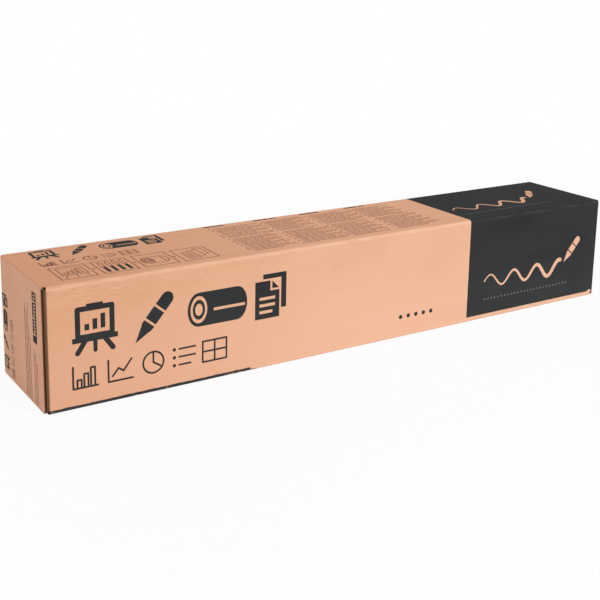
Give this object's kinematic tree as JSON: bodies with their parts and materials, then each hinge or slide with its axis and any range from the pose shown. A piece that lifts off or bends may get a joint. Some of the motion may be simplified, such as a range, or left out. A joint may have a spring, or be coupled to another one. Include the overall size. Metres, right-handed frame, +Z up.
{
  "type": "flipchart kit carton",
  "caption": "Long square corrugated carton with hinged end flaps, holding a roll of flipchart paper, capped markers and a booklet.",
  "frame": {"origin": "middle of the base of the closed carton", "axes": "+X along the carton to its right end, -Y the front face, +Z up"},
  "size_m": [0.7, 0.12, 0.12],
  "materials": {
    "corrugated_board": "brown kraft liner, matt, printed in charcoal",
    "flipchart_paper": "uncoated white",
    "band_paper": "brown kraft paper",
    "booklet_cover": "charcoal card",
    "booklet_pages": "uncoated white",
    "marker_body": "charcoal, satin",
    "ink_felt": "polyester fibre",
    "black_plastic": "moulded, semi-gloss",
    "black_nib": "felt soaked with ink",
    "red_plastic": "moulded, semi-gloss",
    "red_nib": "felt soaked with ink",
    "blue_plastic": "moulded, semi-gloss",
    "blue_nib": "felt soaked with ink",
    "green_plastic": "moulded, semi-gloss",
    "green_nib": "felt soaked with ink"
  },
  "bodies": {
    "carton": {"back_panel": "corrugated_board", "black_marker_barrel": "marker_body", "black_marker_end_plug": "black_plastic", "black_marker_ink_core": "ink_felt", "black_marker_nib": "black_nib", "blue_marker_barrel": "marker_body", "blue_marker_end_plug": "blue_plastic", "blue_marker_ink_core": "ink_felt", "blue_marker_nib": "blue_nib", "booklet_cover": "booklet_cover", "booklet_pages": "booklet_pages", "bottom_panel": "corrugated_board", "broad_black_marker_barrel": "marker_body", "broad_black_marker_end_plug": "black_plastic", "broad_black_marker_ink_core": "ink_felt", "broad_black_marker_nib": "black_nib", "broad_red_marker_barrel": "marker_body", "broad_red_marker_end_plug": "red_plastic", "broad_red_marker_ink_core": "ink_felt", "broad_red_marker_nib": "red_nib", "front_panel": "corrugated_board", "glue_tab": "corrugated_board", "green_marker_barrel": "marker_body", "green_marker_end_plug": "green_plastic", "green_marker_ink_core": "ink_felt", "green_marker_nib": "green_nib", "red_marker_barrel": "marker_body", "red_marker_end_plug": "red_plastic", "red_marker_ink_core": "ink_felt", "red_marker_nib": "red_nib", "top_panel": "corrugated_board"},
    "left_end_flap": {"left_end_flap": "corrugated_board"},
    "left_front_dust_flap": {"left_front_dust_flap": "corrugated_board"},
    "left_back_dust_flap": {"left_back_dust_flap": "corrugated_board"},
    "right_end_flap": {"right_end_flap": "corrugated_board"},
    "right_front_dust_flap": {"right_front_dust_flap": "corrugated_board"},
    "right_back_dust_flap": {"right_back_dust_flap": "corrugated_board"},
    "paper_roll": {"paper_roll": "flipchart_paper", "left_roll_band": "band_paper", "right_roll_band": "band_paper"},
    "black_marker_cap": {"black_marker_cap": "black_plastic"},
    "red_marker_cap": {"red_marker_cap": "red_plastic"},
    "blue_marker_cap": {"blue_marker_cap": "blue_plastic"},
    "green_marker_cap": {"green_marker_cap": "green_plastic"},
    "broad_black_marker_cap": {"broad_black_marker_cap": "black_plastic"},
    "broad_red_marker_cap": {"broad_red_marker_cap": "red_plastic"}
  },
  "joints": [
    {"name": "left_end_flap_hinge", "type": "hinge", "parent": "carton", "child": "left_end_flap", "pos_m": [-0.35, 0, 0.12], "axis": [0, 1, 0], "range_deg": [0, 180]},
    {"name": "left_front_dust_flap_hinge", "type": "hinge", "parent": "carton", "child": "left_front_dust_flap", "pos_m": [-0.3467, -0.06, 0.06], "axis": [0, 0, 1], "range_deg": [0, 90]},
    {"name": "left_back_dust_flap_hinge", "type": "hinge", "parent": "carton", "child": "left_back_dust_flap", "pos_m": [-0.3467, 0.06, 0.06], "axis": [0, 0, -1], "range_deg": [0, 90]},
    {"name": "right_end_flap_hinge", "type": "hinge", "parent": "carton", "child": "right_end_flap", "pos_m": [0.35, 0, 0], "axis": [0, 1, 0], "range_deg": [0, 90]},
    {"name": "right_front_dust_flap_hinge", "type": "hinge", "parent": "carton", "child": "right_front_dust_flap", "pos_m": [0.3467, -0.06, 0.06], "axis": [0, 0, -1], "range_deg": [0, 86]},
    {"name": "right_back_dust_flap_hinge", "type": "hinge", "parent": "carton", "child": "right_back_dust_flap", "pos_m": [0.3467, 0.06, 0.06], "axis": [0, 0, 1], "range_deg": [0, 86]},
    {"name": "paper_roll_slide", "type": "slide", "parent": "carton", "child": "paper_roll", "axis": [1, 0, 0], "range_m": [-0.0184, 0.0184]},
    {"name": "black_marker_cap_pull", "type": "slide", "parent": "carton", "child": "black_marker_cap", "axis": [1, 0, 0], "range_m": [0, 0.032]},
    {"name": "red_marker_cap_pull", "type": "slide", "parent": "carton", "child": "red_marker_cap", "axis": [1, 0, 0], "range_m": [0, 0.032]},
    {"name": "blue_marker_cap_pull", "type": "slide", "parent": "carton", "child": "blue_marker_cap", "axis": [-1, 0, 0], "range_m": [0, 0.032]},
    {"name": "green_marker_cap_pull", "type": "slide", "parent": "carton", "child": "green_marker_cap", "axis": [-1, 0, 0], "range_m": [0, 0.032]},
    {"name": "broad_black_marker_cap_pull", "type": "slide", "parent": "carton", "child": "broad_black_marker_cap", "axis": [1, 0, 0], "range_m": [0, 0.032]},
    {"name": "broad_red_marker_cap_pull", "type": "slide", "parent": "carton", "child": "broad_red_marker_cap", "axis": [1, 0, 0], "range_m": [0, 0.032]}
  ],
  "couplings": [
    {"joint": "left_front_dust_flap_hinge", "follows": "left_end_flap_hinge", "ratio": 0.5},
    {"joint": "left_back_dust_flap_hinge", "follows": "left_end_flap_hinge", "ratio": 0.5},
    {"joint": "right_front_dust_flap_hinge", "follows": "right_end_flap_hinge", "ratio": 0.95},
    {"joint": "right_back_dust_flap_hinge", "follows": "right_end_flap_hinge", "ratio": 0.95}
  ]
}
